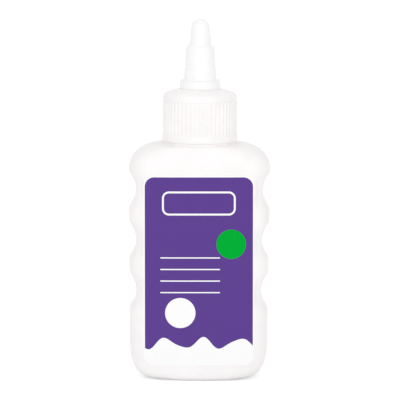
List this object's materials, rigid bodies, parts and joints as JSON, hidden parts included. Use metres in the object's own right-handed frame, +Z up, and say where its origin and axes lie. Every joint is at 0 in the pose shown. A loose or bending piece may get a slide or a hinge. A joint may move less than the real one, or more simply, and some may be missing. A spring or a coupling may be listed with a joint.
{
  "type": "glue bottle",
  "caption": "White squeeze bottle for craft glue: oval body with finger grooves down both narrow sides, ribbed screw cap, and a stepped nozzle that rises to open.",
  "frame": {"origin": "centre of the base, on the surface the bottle stands on", "axes": "+Z up through the nozzle, the broad front face with the label looks along -Y, the grooved narrow sides look along +X and -X"},
  "size_m": [0.0524, 0.0322, 0.1326],
  "materials": {
    "bottle_plastic": "satin",
    "label_film": "satin",
    "liner_foam": "matte",
    "cap_plastic": "satin",
    "nozzle_plastic": "satin"
  },
  "bodies": {
    "bottle_body": {"bottle": "bottle_plastic", "front_label": "label_film"},
    "liner_body": {"cap_liner": "liner_foam"},
    "cap_body": {"screw_cap": "cap_plastic"},
    "nozzle_body": {"twist_nozzle": "nozzle_plastic"}
  },
  "joints": [
    {"name": "liner_lift", "type": "slide", "parent": "bottle_body", "child": "liner_body", "axis": [0, 0, 1], "range_m": [0, 0.00477]},
    {"name": "cap_turn", "type": "hinge", "parent": "liner_body", "child": "cap_body", "pos_m": [0, 0, 0.105], "axis": [0, 0, 1], "range_deg": [0, 540]},
    {"name": "nozzle_lift", "type": "slide", "parent": "cap_body", "child": "nozzle_body", "axis": [0, 0, 1], "range_m": [0, 0.0026]}
  ],
  "couplings": [
    {"joint": "liner_lift", "follows": "cap_turn", "m_per_rad": 0.00050531}
  ]
}
